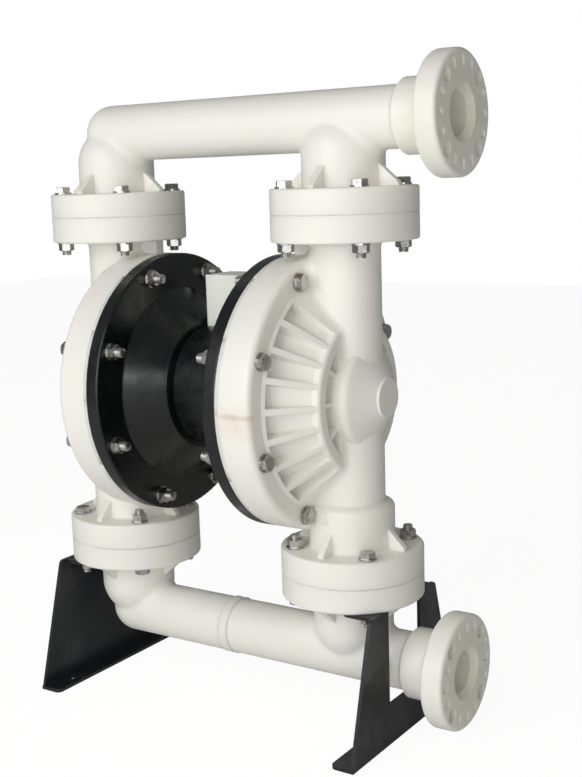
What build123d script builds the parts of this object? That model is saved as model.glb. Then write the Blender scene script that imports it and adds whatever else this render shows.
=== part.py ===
from build123d import *
import os
from math import cos, radians, sin, sqrt

"""Air operated double diaphragm pump in moulded plastic, built as separate pieces.

Everything is drawn about the shaft: X along the shaft, Z up, the ported end towards +X.
The finished pieces are then moved so that the origin lies on the floor, under the middle of
the whole pump. Lengths are in millimetres.
"""

# ---- layout of the whole pump ----
stub_spacing = 380.0          # between the two vertical stub axes
column_neck = 18.5            # open length of column between the chamber's rim and its flange
pipe_rise = 116.0             # manifold joint to the axis of its pipe
port_run = 167.0              # ported end's stub axis to the port flange faces
port_floor_gap = 25.8         # suction port flange to the floor

# ---- manifolds ----
pipe_r = 39.0
pipe_bore_r = 26.0
stub_r = 54.0
stub_bore_r = 42.0
stub_dome_drop = 43.0         # pipe axis down to the centre of a stub's domed end
manifold_flange_r = 96.0
manifold_flange_t = 33.0
flange_edge = 3.0
saddle_r = 12.0               # blend between the pipe and its stubs
gusset_h = 27.0
gusset_reach = 27.0
gusset_t = 9.0
collar_r = 47.0
collar_gap = 11.0             # foot's web to the inner end of the collar
collar_bevel = 6.0
weld_r = 40.2
weld_w = 14.0
weld_x = -6.0

# ---- port flanges, 2 in. class 150 pattern ----
port_flange_r = 76.2
port_flange_t = 30.0
port_flange_edge = 5.0
port_bore_r = 27.5
port_bore_length = 60.0
port_lip = 8.0
port_pcd = 120.7
port_hole_r = 9.5
port_hole_count = 4
port_slot_count = 16          # bolt holes and core pockets together, evenly spaced
port_pocket_r = 5.0
port_pocket_length = 15.0
port_pocket_depth = 3.0

# ---- chambers ----
chamber_r = 183.5
diaphragm_t = 4.0
clamp_plane = 108.0           # shaft midplane to the middle of each diaphragm
rim_inset = 33.0              # column axis back to the outer face of the white rim
rim_edge = 9.0
rim_width = 27.5              # flat of the white rim, out to where the ribbed cone begins
ring_out_r = 100.0
ring_in_r = 87.0
ring_stand_out = 18.0         # column axis out to the face of the ring
groove_depth = 16.0           # groove between the ring and the dome
dome_r = 68.0
dome_rise = 39.0              # ring's face to the dome's face
dome_fall = 25.0              # dome's face back to the end of its straight side
dome_edge = 12.0
boss_r = 27.0
boss_h = 3.0
rib_pitch = 15.0              # degrees
rib_root_t = 10.5
rib_top_t = 6.5
rib_fan = 60.0                # degrees either side of the horizontal
pocket_wall = 4.0             # rim flat to the outer ends of the pockets
pocket_floor_t = 18.0         # floor left under the deep ends of the pockets
pocket_shallow = 11.0         # depth of their shallow ends under the ring's face
short_rib_t = 6.0
clamp_width = 35.5            # rim of both chambers that grips the diaphragm
cavity_step = 9.0
cavity_neck_r = 60.0
cavity_neck_depth = 26.0      # ring's face back to the neck of the cavity
dome_wall = 13.0
column_r = 46.0
column_bore_r = 31.0
column_blend = 12.0
column_foot_r = 10.0
column_web_t = 16.0
column_web_inset = 7.0        # seal face to the web between column, rim and top flange
housing_r = 58.0
housing_h = 91.0              # ball housing above the suction joint
chamber_flange_t = 35.0

# ---- black air chambers and centre block ----
black_rim_face = 86.0
bowl_step = 13.0              # cavity wall to the outer edge of the bowl
bowl_taper = 44.0             # bowl's outer edge in to its inner end
bowl_end_face = 42.0
bowl_wall = 12.0
block_r = 83.0
groove_t = 2.0

# ---- valves ----
ball_r = 31.0
ball_lift = 13.0
ball_bore_r = 43.0
cage_clearance = 0.8
cage_rib_t = 6.0
stop_bar = 8.0
seat_r = 50.0
seat_t = 12.0
seat_bore_r = 23.0
seat_bevel = 3.0
seal_r = 2.5
fit_gap = 0.3                 # rest gap between loose pieces and their seats

# ---- moving core ----
shaft_r = 12.5
stud_r = 8.0
bearing_gap = 0.05
bush_r = 18.0
bush_length = 26.0
shaft_seal_r = 20.0
shaft_seal_t = 6.0
inner_plate_r = 84.0
inner_plate_t = 10.0
outer_plate_r = 80.0
outer_plate_t = 15.0
diaphragm_flex_gap = 5.0      # cavity wall to where the diaphragm begins to flex
diaphragm_roll_r = 92.0
diaphragm_roll = 8.0
stroke = 11.0
pilot_r = 4.0
pilot_offset = 55.0
pilot_travel = 4.0

# ---- air valve on top of the centre block ----
valve_w = 72.0
valve_front = -4.0
valve_depth = 62.0
valve_base = 80.0
valve_top = 154.0
valve_edge = 3.0
gasket_t = 1.5
spool_r = 14.0
spool_length = 50.0
spool_travel = 4.0
spool_height = 118.0
spool_land = 9.0
spool_groove = 3.0
plug_r = 18.0
plug_t = 7.0
plug_knob_r = 5.0
plug_knob_h = 8.0
inlet_r = 9.5
inlet_depth = 13.0
air_way_r = 5.0
exhaust_height = -20.0
exhaust_stem_r = 10.0
exhaust_stem_length = 16.0
silencer_r = 22.0
silencer_length = 62.0

# ---- fasteners, M12 throughout, M8 on the air valve ----
bolt_r = 6.0
bolt_head_h = 7.5
bolt_head_af = 19.0
bolt_head_bevel = 1.2
nut_h = 10.0
washer_r = 12.0
washer_t = 2.5
thread_gap = 0.06
hole_gap = 0.6
thread_stand_out = 11.0
manifold_stand_out = 6.0
chamber_bolt_count = 8
chamber_bolt_inset = 18.0     # chamber's outer edge to its bolt circle
manifold_bolt_circle = 156.0
manifold_bolt_count = 4
valve_screw_r = 4.0
valve_screw_head_r = 6.5
valve_screw_head_h = 8.0

# ---- steel feet ----
foot_reach = 78.0             # stub axis to the outer face of each web
sheet_t = 5.0
foot_top_half = 89.0
foot_base_half = 142.0
foot_flange_w = 34.0
foot_tab_w = 48.0
foot_tab_gap = 40.0           # opening between the two ears of the tab
foot_notch_side = 5.0         # clearance beside the suction pipe in its U-shaped notch
foot_notch_under = 8.0        # clearance under the suction pipe there
foot_notch_r = 5.0
foot_slot_half = 8.0          # slot in the web's top edge that clears a manifold gusset
foot_slot_depth = 12.0
foot_corner_r = 8.0
foot_hole_spacing = 190.0
foot_hole_r = 6.5

# ---- sizes that follow from those above ----
stub_x = stub_spacing / 2
chamber_flange_base = chamber_r + column_neck
joint_height = chamber_flange_base + chamber_flange_t
flange_top = joint_height + manifold_flange_t
pipe_height = joint_height + pipe_rise
stub_dome_height = pipe_height - stub_dome_drop
floor_drop = pipe_height + port_flange_r + port_floor_gap
port_reach = stub_x + port_run
rim_face = stub_x - rim_inset
ring_face = stub_x + ring_stand_out
groove_floor = ring_face - groove_depth
dome_face = ring_face + dome_rise
dome_side = dome_face - dome_fall
annulus_r = chamber_r - rim_width
pocket_r = annulus_r - pocket_wall
cavity_r = chamber_r - clamp_width
bowl_r = cavity_r - bowl_step
bowl_end_r = bowl_r - bowl_taper
diaphragm_flex_r = cavity_r - diaphragm_flex_gap
chamber_bolt_r = chamber_r - chamber_bolt_inset
housing_top = joint_height - housing_h
manifold_bolt_r = manifold_bolt_circle / 2
black_seal_face = clamp_plane - diaphragm_t / 2
white_seal_face = clamp_plane + diaphragm_t / 2
pocket_deep_x = white_seal_face + pocket_floor_t
pocket_shallow_x = ring_face - pocket_shallow
cavity_neck_x = ring_face - cavity_neck_depth
cavity_end_x = dome_face - dome_wall
column_web_x = white_seal_face + column_web_inset
left_reach = stub_x + manifold_flange_r
shaft_half = black_seal_face - inner_plate_t
hole_r = bolt_r + hole_gap
foot_web_x = stub_x + foot_reach
foot_hole_x = foot_web_x - foot_flange_w / 2
collar_start = foot_web_x + collar_gap
foot_notch_half = pipe_r + foot_notch_side
foot_notch_low = pipe_height + pipe_r + foot_notch_under
frame_shift = Vector((left_reach - port_reach) / 2, 0, floor_drop)


# ---- drawing helpers ----
def rod_x(radius, x0, x1, y=0.0, z=0.0):
    return Pos((x0 + x1) / 2, y, z) * Rot(0, 90, 0) * Cylinder(radius, abs(x1 - x0))


def rod_y(radius, y0, y1, x=0.0, z=0.0):
    return Pos(x, (y0 + y1) / 2, z) * Rot(90, 0, 0) * Cylinder(radius, abs(y1 - y0))


def rod_z(radius, z0, z1, x=0.0, y=0.0):
    return Pos(x, y, (z0 + z1) / 2) * Cylinder(radius, abs(z1 - z0))


def block(x0, x1, y0, y1, z0, z1):
    return Pos((x0 + x1) / 2, (y0 + y1) / 2, (z0 + z1) / 2) * Box(
        abs(x1 - x0), abs(y1 - y0), abs(z1 - z0)
    )


def turned_x(*profile, radii=0.0):
    """Solid of revolution about X; the profile is a closed list of (x, radius)."""
    return revolve(make_face(FilletPolyline(*profile, radius=radii, close=True)), axis=Axis.X)


def turned_z(*profile, radii=0.0):
    """Solid of revolution about Z; the profile is a closed list of (radius, z)."""
    outline = FilletPolyline(*[(r, 0, z) for r, z in profile], radius=radii, close=True)
    return revolve(make_face(outline), axis=Axis.Z)


def circle_points(radius, count, first_deg):
    step = 360 / count
    return [
        (radius * cos(radians(first_deg + step * i)), radius * sin(radians(first_deg + step * i)))
        for i in range(count)
    ]


def group(pieces):
    return Compound([solid for piece in pieces for solid in piece.solids()])


def write(name, shape):
    placed = [Pos(*frame_shift) * solid for solid in shape.solids()]
    whole = placed[0] if len(placed) == 1 else Compound(placed)
    export_step(whole, os.path.join("parts", name + ".step"))


def left_of(shape):
    """The like piece on the other side of the shaft's midplane."""
    return mirror(shape, about=Plane.YZ)


# ---- fasteners ----
def hexagon(height):
    """Hexagon with its outer corners bevelled, as on a bolt head or nut."""
    corner_r = bolt_head_af / 2 / cos(radians(30)) + 0.01
    body = extrude(RegularPolygon(bolt_head_af / 2, 6, major_radius=False), height)
    bevel = turned_z(
        (0, 0), (corner_r, 0), (corner_r, height - bolt_head_bevel),
        (corner_r - 1.7 * bolt_head_bevel, height), (0, height),
    )
    return body & bevel


def bolt(length):
    """Hex bolt with its washer under the head: seat at z = 0, shank downwards."""
    shank = rod_z(bolt_r, -length, washer_t)
    return rod_z(washer_r, 0, washer_t) + Pos(0, 0, washer_t) * hexagon(bolt_head_h) + shank


def nut():
    """Hex nut with its washer: seat at z = 0, nut upwards."""
    body = rod_z(washer_r, 0, washer_t) + Pos(0, 0, washer_t) * hexagon(nut_h)
    return body - rod_z(bolt_r + thread_gap, -1, washer_t + nut_h + 1)


def chamber_fasteners(side):
    """Bolts from the white rim through to nuts on the black rim, on one side of the pump."""
    grip = rim_face - black_rim_face
    length = grip + washer_t + nut_h + thread_stand_out
    bolts = []
    nuts = []
    for y, z in circle_points(chamber_bolt_r, chamber_bolt_count, 180 / chamber_bolt_count):
        bolts.append(Pos(side * rim_face, y, z) * Rot(0, side * 90, 0) * bolt(length))
        nuts.append(Pos(side * black_rim_face, y, z) * Rot(0, -side * 90, 0) * nut())
    return group(bolts), group(nuts)


def joint_fasteners(side, top, heads_up, foot):
    """The four bolts and nuts of one manifold joint; foot adds the steel tab to the grip."""
    upper = flange_top if top else -chamber_flange_base
    lower = chamber_flange_base if top else -flange_top
    bolts = []
    nuts = []
    for (x, y), up in zip(circle_points(manifold_bolt_r, manifold_bolt_count, 45), heads_up):
        tab = sheet_t if foot and x * side > 0 else 0.0
        z_low = lower - tab
        length = upper - z_low + washer_t + nut_h + manifold_stand_out
        z_head = upper if up else z_low
        z_nut = z_low if up else upper
        head_turn = Rot(0, 0, 12) if up else Rot(180, 0, 12)
        nut_turn = Rot(180, 0, 20) if up else Rot(0, 0, 20)
        bolts.append(Pos(side * stub_x + x, y, z_head) * head_turn * bolt(length))
        nuts.append(Pos(side * stub_x + x, y, z_nut) * nut_turn * nut())
    return bolts, nuts


# ---- manifolds ----
def gussets(x_centre, base, wall_r):
    """Four triangular webs between an upright wall and the flange face that it stands on."""
    tip_r = stub_r + gusset_reach
    outline = Polyline(
        (wall_r - 4, base - 1), (tip_r, base - 1), (tip_r, base + 4), (wall_r - 4, base + gusset_h + 4),
        close=True,
    )
    web = extrude(Plane.XZ * make_face(outline), gusset_t / 2, both=True)
    return [Pos(x_centre, 0, 0) * Rot(0, 0, deg) * web for deg in (0, 90, 180, 270)]


def port_flange(z):
    """Round flange with bolt holes and the core pockets moulded between them."""
    back = port_reach - port_flange_t
    edge = port_flange_edge
    flange = turned_x(
        (back, 0), (back, port_flange_r), (port_reach, port_flange_r), (port_reach, 0),
        radii=[0, edge, edge, 0],
    )
    turn = 360 / port_slot_count
    holes_every = port_slot_count // port_hole_count
    for i in range(port_slot_count):
        y, z_hole = circle_points(port_pcd / 2, port_slot_count, 45)[i]
        if i % holes_every == 0:
            flange -= rod_x(port_hole_r, back - 1, port_reach + 1, y, z_hole)
        else:
            slot = extrude(SlotOverall(port_pocket_length, 2 * port_pocket_r), port_pocket_depth + 1)
            slot = Pos(0, port_pcd / 2, 0) * Rot(0, 0, 90) * slot
            slot = Rot(45 + turn * i - 90, 0, 0) * Rot(0, 90, 0) * slot
            flange -= Pos(port_reach - port_pocket_depth, 0, 0) * slot
    return Pos(0, 0, z) * flange


def manifold(with_balls, with_weld):
    """Discharge manifold with its stubs pointing down; the suction one is its mirror image."""
    collar_end = port_reach - port_flange_t / 2
    body = rod_x(pipe_r, -stub_x, collar_end, z=pipe_height)
    body += Pos(-stub_x, 0, pipe_height) * Sphere(pipe_r)
    for x in (-stub_x, stub_x):
        body += rod_z(stub_r, joint_height, stub_dome_height, x)
        body += Pos(x, 0, stub_dome_height) * Sphere(stub_r)
    open_height = pipe_rise - pipe_r - manifold_flange_t
    body = fillet(body.edges().filter_by(GeomType.BSPLINE), min(saddle_r, open_height / 3))
    body += Pos(0, 0, pipe_height) * turned_x(
        (collar_start, 0), (collar_start, collar_r - collar_bevel),
        (collar_start + collar_bevel, collar_r), (collar_end, collar_r), (collar_end, 0),
    )
    if with_weld:
        body += rod_x(weld_r, weld_x - weld_w / 2, weld_x + weld_w / 2, z=pipe_height)
    for x in (-stub_x, stub_x):
        flange = turned_z(
            (0, joint_height), (manifold_flange_r, joint_height),
            (manifold_flange_r, flange_top), (0, flange_top),
            radii=[0, flange_edge / 2, flange_edge, 0],
        )
        body += Pos(x, 0, 0) * flange
        for web in gussets(x, flange_top, stub_r):
            body += web
    body += port_flange(pipe_height)
    body -= rod_x(pipe_bore_r, -stub_x, port_reach + 1, z=pipe_height)
    body -= Pos(-stub_x, 0, pipe_height) * Sphere(pipe_bore_r)
    body -= Pos(0, 0, pipe_height) * turned_x(
        (port_reach - port_bore_length, 0), (port_reach - port_bore_length, port_bore_r),
        (port_reach - port_lip, port_bore_r), (port_reach + 1, port_bore_r + port_lip + 1),
        (port_reach + 1, 0),
    )
    for x in (-stub_x, stub_x):
        body -= rod_z(stub_bore_r, joint_height - 1, stub_dome_height, x)
        body -= Pos(x, 0, stub_dome_height) * Sphere(stub_bore_r)
        if with_balls:
            body += ball_cage(x, joint_height, joint_height + seat_rise())
        else:
            body -= rod_z(seat_r + bearing_gap, joint_height - 1, joint_height + seat_t, x)
        for bx, by in circle_points(manifold_bolt_r, manifold_bolt_count, 45):
            body -= rod_z(hole_r, joint_height - 1, flange_top + 1, x + bx, by)
    return body


# ---- ball valves ----
def seat_rise():
    """Height of a resting ball's centre above the top of its seat."""
    return sqrt(ball_r**2 - seat_bore_r**2) - seat_bevel + fit_gap


def ball_cage(x, base, centre):
    """Four guide ribs round a ball and the crossed bars that stop it, in a bore of ball_bore_r."""
    stop = centre + ball_r + ball_lift + fit_gap
    reach = ball_bore_r + 3
    inner = ball_r + cage_clearance
    ribs = None
    for deg in (0, 90, 180, 270):
        rib = block(inner, reach, -cage_rib_t / 2, cage_rib_t / 2, base + 2, stop + 1)
        rib = Rot(0, 0, deg) * rib
        ribs = rib if ribs is None else ribs + rib
    bars = block(-reach, reach, -stop_bar / 2, stop_bar / 2, stop, stop + stop_bar)
    bars += block(-stop_bar / 2, stop_bar / 2, -reach, reach, stop, stop + stop_bar)
    return Pos(x, 0, 0) * (ribs + bars)


def valve_seat():
    """Seat ring with its top face at z = 0, a bevelled mouth and a step for its seal."""
    step = 2 * seal_r + 0.2
    return turned_z(
        (seat_bore_r, -seat_t), (seat_r, -seat_t), (seat_r, -step), (seat_r - step, -step),
        (seat_r - step, 0), (seat_bore_r + seat_bevel, 0), (seat_bore_r, -seat_bevel),
    )


def valve_seal():
    """O-ring in the seat's step."""
    return Pos(0, 0, -seal_r - 0.1) * Torus(seat_r - seal_r - 0.1, seal_r)


# ---- fluid chambers ----
def fan_side(y_sign):
    """Rib plates of the fan on one side, as thick plates through the shaft axis."""
    root_x = white_seal_face
    top_x = ring_face + 10
    outline = Polyline(
        (root_x, -rib_root_t / 2), (top_x, -rib_top_t / 2), (top_x, rib_top_t / 2),
        (root_x, rib_root_t / 2), close=True,
    )
    plate = Pos(0, chamber_r, 0) * extrude(Plane.XZ * make_face(outline), chamber_r - ring_in_r + 20)
    count = int(rib_fan / rib_pitch)
    plates = None
    for i in range(-count, count + 1):
        turned = Rot(i * rib_pitch, 0, 0) * plate
        plates = turned if plates is None else plates + turned
    return plates if y_sign > 0 else mirror(plates, about=Plane.XZ)


def smooth_sectors(x0, x1, r):
    """Wedges above and below the shaft, where the shell stays smooth for the column."""
    half = r * cos(radians(rib_fan)) / sin(radians(rib_fan))
    wedge = Plane.YZ * make_face(Polyline((0, 0), (half, r), (-half, r), close=True))
    upper = Pos(x0, 0, 0) * extrude(wedge, x1 - x0)
    return upper + mirror(upper, about=Plane.XY)


def fluid_chamber():
    """White outer chamber of the +X side, with the ribbed shell, the column and both flanges."""
    shell = turned_x(
        (white_seal_face, 0), (white_seal_face, chamber_r), (rim_face, chamber_r),
        (rim_face, annulus_r), (ring_face, ring_out_r), (ring_face, 0),
        radii=[0, 2, rim_edge, 0, 4, 0],
    )
    shell += rod_z(column_r, -chamber_flange_base - 3, chamber_flange_base + 3, stub_x)
    seams = [
        edge for edge in shell.edges()
        if ring_in_r < abs(edge.center().Z) < chamber_r and 15 < abs(edge.center().Y) < column_r + 5
    ]
    shell = fillet(seams, column_blend)
    groove = rod_x(ring_in_r, groove_floor, dome_face)
    groove -= rod_x(dome_r - 1, groove_floor - 1, dome_face + 1)
    clear = column_r + 6
    shell -= groove - block(groove_floor - 1, dome_face + 1, -clear, clear, -chamber_r, chamber_r)
    pockets = turned_x(
        (pocket_deep_x, pocket_r), (rim_face + 30, pocket_r), (ring_face + 30, ring_out_r + 3),
        (pocket_shallow_x, ring_out_r + 3),
    )
    smooth = smooth_sectors(pocket_deep_x - 40, dome_face + 20, chamber_r + 20)
    shell -= pockets - fan_side(1) - fan_side(-1) - smooth
    groove_fill = block(groove_floor - 1, ring_face - 1, -short_rib_t / 2, short_rib_t / 2, 0, ring_in_r)
    for deg in (60, 90, 120):
        shell += Rot(deg, 0, 0) * groove_fill
        shell += Rot(-deg, 0, 0) * groove_fill
    dome = turned_x(
        (white_seal_face + 20, 0), (white_seal_face + 20, dome_r), (dome_side, dome_r),
        (dome_face, boss_r), (dome_face + boss_h, boss_r - 1), (dome_face + boss_h, 0),
        radii=[0, 0, dome_edge, 0, 1, 0],
    )
    body = shell + dome
    body += Pos(stub_x, 0, 0) * turned_z(
        (0, -joint_height + 5), (housing_r, -joint_height + 5), (housing_r, -housing_top),
        (column_r - 1, -housing_top + 6), (0, -housing_top + 6), radii=[0, 0, 8, 0, 0],
    )
    for s, wall_r, foot_r in ((1, column_r, column_foot_r), (-1, housing_r, column_foot_r / 2)):
        back = s * chamber_flange_base
        face = s * joint_height
        body += Pos(stub_x, 0, 0) * turned_z(
            (0, back - s * 20), (wall_r - 1, back - s * 20), (wall_r + 1, back),
            (manifold_flange_r, back), (manifold_flange_r, face), (0, face),
            radii=[0, 0, foot_r, flange_edge, flange_edge / 2, 0],
        )
    for web in gussets(stub_x, -chamber_flange_base, housing_r):
        body += web
    body += block(
        column_web_x, stub_x, -column_web_t / 2, column_web_t / 2, chamber_r - 20, chamber_flange_base + 2
    )
    body -= turned_x(
        (white_seal_face - 1, 0), (white_seal_face - 1, cavity_r),
        (white_seal_face + cavity_step, cavity_r), (cavity_neck_x - 4, ring_out_r - 6),
        (cavity_neck_x, cavity_neck_r), (dome_side, cavity_neck_r - 8), (cavity_end_x, 22),
        (cavity_end_x, 0),
    )
    body -= rod_z(column_bore_r, 0, joint_height - seat_t, stub_x)
    body -= rod_z(seat_r + bearing_gap, joint_height - seat_t, joint_height + 1, stub_x)
    ball_centre = -joint_height + seat_rise()
    housing_end = ball_centre + ball_r + ball_lift + fit_gap + stop_bar + 6
    body -= rod_z(ball_bore_r, -joint_height - 1, housing_end, stub_x)
    body -= rod_z(column_bore_r, housing_end - 1, 0, stub_x)
    body += ball_cage(stub_x, -joint_height, ball_centre)
    for y, z in circle_points(chamber_bolt_r, chamber_bolt_count, 180 / chamber_bolt_count):
        body -= rod_x(hole_r, white_seal_face - 1, rim_face + 1, y, z)
        body -= rod_x(washer_r + 1, rim_face, rim_face + 30, y, z)
    for bx, by in circle_points(manifold_bolt_r, manifold_bolt_count, 45):
        body -= rod_z(hole_r, chamber_flange_base - 20, joint_height + 1, stub_x + bx, by)
        body -= rod_z(hole_r, -joint_height - 1, -chamber_flange_base + 20, stub_x + bx, by)
        for s in (1, -1):
            face = s * chamber_flange_base
            body -= rod_z(washer_r + 1.5, face, face - s * (washer_t + nut_h), stub_x + bx, by)
    return body


# ---- air side ----
def air_chamber():
    """Black inner chamber of the +X side, from the diaphragm to the centre block."""
    body = turned_x(
        (black_seal_face, 0), (black_seal_face, chamber_r), (black_rim_face, chamber_r),
        (black_rim_face, bowl_r), (bowl_end_face, bowl_end_r), (bowl_end_face, 0),
        radii=[0, 2, 3, 6, 3, 0],
    )
    body -= turned_x(
        (black_seal_face + 1, 0), (black_seal_face + 1, cavity_r),
        (black_rim_face + bowl_wall, cavity_r), (bowl_end_face + bowl_wall, bowl_end_r - 3),
        (bowl_end_face + bowl_wall, 0),
    )
    body -= rod_x(shaft_seal_r + bearing_gap, bowl_end_face - 1, bowl_end_face + bowl_wall + 1)
    body -= rod_x(pilot_r + bearing_gap, bowl_end_face - 1, bowl_end_face + bowl_wall + 1, z=-pilot_offset)
    for y, z in circle_points(chamber_bolt_r, chamber_bolt_count, 180 / chamber_bolt_count):
        body -= rod_x(hole_r, black_rim_face - 1, black_seal_face + 1, y, z)
    return body


def centre_block():
    """Black middle piece that carries the shaft bushes, the pilot pin and the air valve."""
    body = turned_x(
        (-bowl_end_face, 0), (-bowl_end_face, block_r - groove_t), (-bowl_end_face + 4, block_r),
        (bowl_end_face - 4, block_r), (bowl_end_face, block_r - groove_t), (bowl_end_face, 0),
    )
    half = valve_w / 2
    back = valve_front + valve_depth
    body += block(-half, half, valve_front, back, 0, valve_base - gasket_t)
    body -= block(-half - 10, half + 10, valve_front - 2, back + 40, valve_base - gasket_t, block_r + 9)
    body -= rod_x(bush_r + bearing_gap, -bowl_end_face - 1, -bowl_end_face + bush_length)
    body -= rod_x(bush_r + bearing_gap, bowl_end_face - bush_length, bowl_end_face + 1)
    body -= rod_x(shaft_r + 2, -bowl_end_face, bowl_end_face)
    body -= rod_x(pilot_r + bearing_gap, -bowl_end_face - 1, bowl_end_face + 1, z=-pilot_offset)
    body -= rod_y(exhaust_stem_r + thread_gap, block_r - exhaust_stem_length, block_r + 10, z=exhaust_height)
    for x, y in valve_screw_places():
        body -= rod_z(valve_screw_r + thread_gap, valve_base - 20, valve_base + 2, x, y)
    return body


def valve_screw_places():
    half = valve_w / 2
    inset = 9.0
    return [
        (sx * (half - inset), y)
        for sx in (-1, 1)
        for y in (valve_front + inset, valve_front + valve_depth - inset)
    ]


def valve_body():
    """White air valve block with its spool bore, screw holes and the threaded air inlet."""
    half = valve_w / 2
    back = valve_front + valve_depth
    body = fillet(
        block(-half, half, valve_front, back, valve_base, valve_top).edges().filter_by(Axis.Z),
        valve_edge,
    )
    mid_y = valve_front + valve_depth / 2
    body -= rod_x(spool_r, -half - 1, half + 1, mid_y, spool_height)
    for s in (-1, 1):
        body -= rod_x(plug_r + bearing_gap, s * (half - plug_t), s * (half + 1), mid_y, spool_height)
    body -= rod_y(inlet_r, back - inlet_depth, back + 1, z=spool_height)
    body -= rod_y(air_way_r, mid_y, back, z=spool_height)
    for x in (-14, 14):
        body -= rod_z(air_way_r, valve_base - 1, spool_height, x, mid_y)
    for x, y in valve_screw_places():
        body -= rod_z(valve_screw_r + hole_gap, valve_base - 1, valve_top + 1, x, y)
        body -= rod_z(valve_screw_head_r + hole_gap, valve_top - valve_screw_head_h - 1, valve_top + 1, x, y)
    return body


def valve_spool():
    """Spool with three lands and two grooves."""
    body = rod_x(spool_r - bearing_gap, -spool_length / 2, spool_length / 2)
    for s in (-1, 1):
        inner = s * spool_land / 2
        outer = s * (spool_length / 2 - spool_land)
        ring = rod_x(spool_r + 1, inner, outer) - rod_x(spool_r - spool_groove, inner - s, outer + s)
        body -= ring
    return Pos(0, valve_front + valve_depth / 2, spool_height) * body


def valve_plugs():
    half = valve_w / 2
    mid_y = valve_front + valve_depth / 2
    plugs = []
    for s in (-1, 1):
        plug = rod_x(plug_r, s * (half - plug_t), s * half, mid_y, spool_height)
        plug += rod_x(plug_knob_r, s * half, s * (half + plug_knob_h), mid_y, spool_height)
        plugs.append(plug)
    return group(plugs)


def valve_gasket():
    half = valve_w / 2
    back = valve_front + valve_depth
    body = block(-half, half, valve_front, back, valve_base - gasket_t, valve_base)
    for x, y in valve_screw_places():
        body -= rod_z(valve_screw_r + hole_gap, valve_base - 3, valve_base + 3, x, y)
    for x in (-14, 14):
        body -= rod_z(air_way_r, valve_base - 3, valve_base + 3, x, valve_front + valve_depth / 2)
    return body


def valve_screws():
    seat = valve_top - valve_screw_head_h - 1
    screws = []
    for x, y in valve_screw_places():
        screw = rod_z(valve_screw_r, valve_base - 16, seat, x, y)
        screw += rod_z(valve_screw_head_r, seat, seat + valve_screw_head_h, x, y)
        socket = extrude(RegularPolygon(3, 6, major_radius=False), 5)
        screw -= Pos(x, y, seat + valve_screw_head_h - 4) * socket
        screws.append(screw)
    return group(screws)


def silencer():
    """Exhaust silencer screwed into the back of the centre block, with slotted sides."""
    start = block_r
    body = rod_y(silencer_r, start, start + silencer_length, z=exhaust_height)
    body = fillet(body.edges().sort_by(Axis.Y)[-1:], 5)
    for i in range(4):
        y = start + 14 + 11 * i
        ring = rod_y(silencer_r + 1, y, y + 4, z=exhaust_height)
        body -= ring - rod_y(silencer_r - 2.5, y - 1, y + 5, z=exhaust_height)
    return body + rod_y(exhaust_stem_r, start - exhaust_stem_length + 1, start, z=exhaust_height)


# ---- moving core ----
def shaft():
    body = rod_x(shaft_r, -shaft_half, shaft_half)
    stud_end = white_seal_face + outer_plate_t - 5
    return body + rod_x(stud_r, -stud_end, stud_end)


def inner_plate():
    face = black_seal_face
    body = turned_x(
        (face, 0), (face, inner_plate_r), (face - inner_plate_t + 4, inner_plate_r),
        (face - inner_plate_t, inner_plate_r - 14), (face - inner_plate_t, 0),
        radii=[0, 2, 2, 0, 0],
    )
    return body - rod_x(stud_r + thread_gap, face - inner_plate_t - 1, face + 1)


def outer_plate():
    face = white_seal_face
    body = turned_x(
        (face, 0), (face, outer_plate_r), (face + 5, outer_plate_r),
        (face + outer_plate_t, outer_plate_r / 2), (face + outer_plate_t, 0),
        radii=[0, 2, 3, 6, 0],
    )
    return body - rod_x(stud_r + thread_gap, face - 1, face + outer_plate_t - 4)


def diaphragm():
    """Flexible disc clamped at its rim and between the plates, with one rolled ring between."""
    low = black_seal_face
    high = white_seal_face
    mid_r = (diaphragm_flex_r + diaphragm_roll_r) / 2
    body = turned_x(
        (low, stud_r + thread_gap), (low, diaphragm_roll_r), (low + diaphragm_roll, mid_r),
        (low, diaphragm_flex_r), (low, chamber_r - 0.5), (high, chamber_r - 0.5),
        (high, diaphragm_flex_r), (high + diaphragm_roll, mid_r), (high, diaphragm_roll_r),
        (high, stud_r + thread_gap),
        radii=[0, 8, 12, 8, 0, 0, 8, 12, 8, 0],
    )
    for y, z in circle_points(chamber_bolt_r, chamber_bolt_count, 180 / chamber_bolt_count):
        body -= rod_x(hole_r, low - 1, high + 1, y, z)
    return body


def shaft_bush():
    start = bowl_end_face - bush_length
    body = rod_x(bush_r, start, bowl_end_face)
    return body - rod_x(shaft_r + bearing_gap, start - 1, bowl_end_face + 1)


def shaft_seal():
    start = bowl_end_face + 2
    body = rod_x(shaft_seal_r, start, start + shaft_seal_t)
    return body - rod_x(shaft_r + bearing_gap, start - 1, start + shaft_seal_t + 1)


def pilot_pin():
    """Pin that the inner plates push from side to side."""
    half = shaft_half - (stroke - pilot_travel) - fit_gap
    return rod_x(pilot_r, -half, half, z=-pilot_offset)


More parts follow.
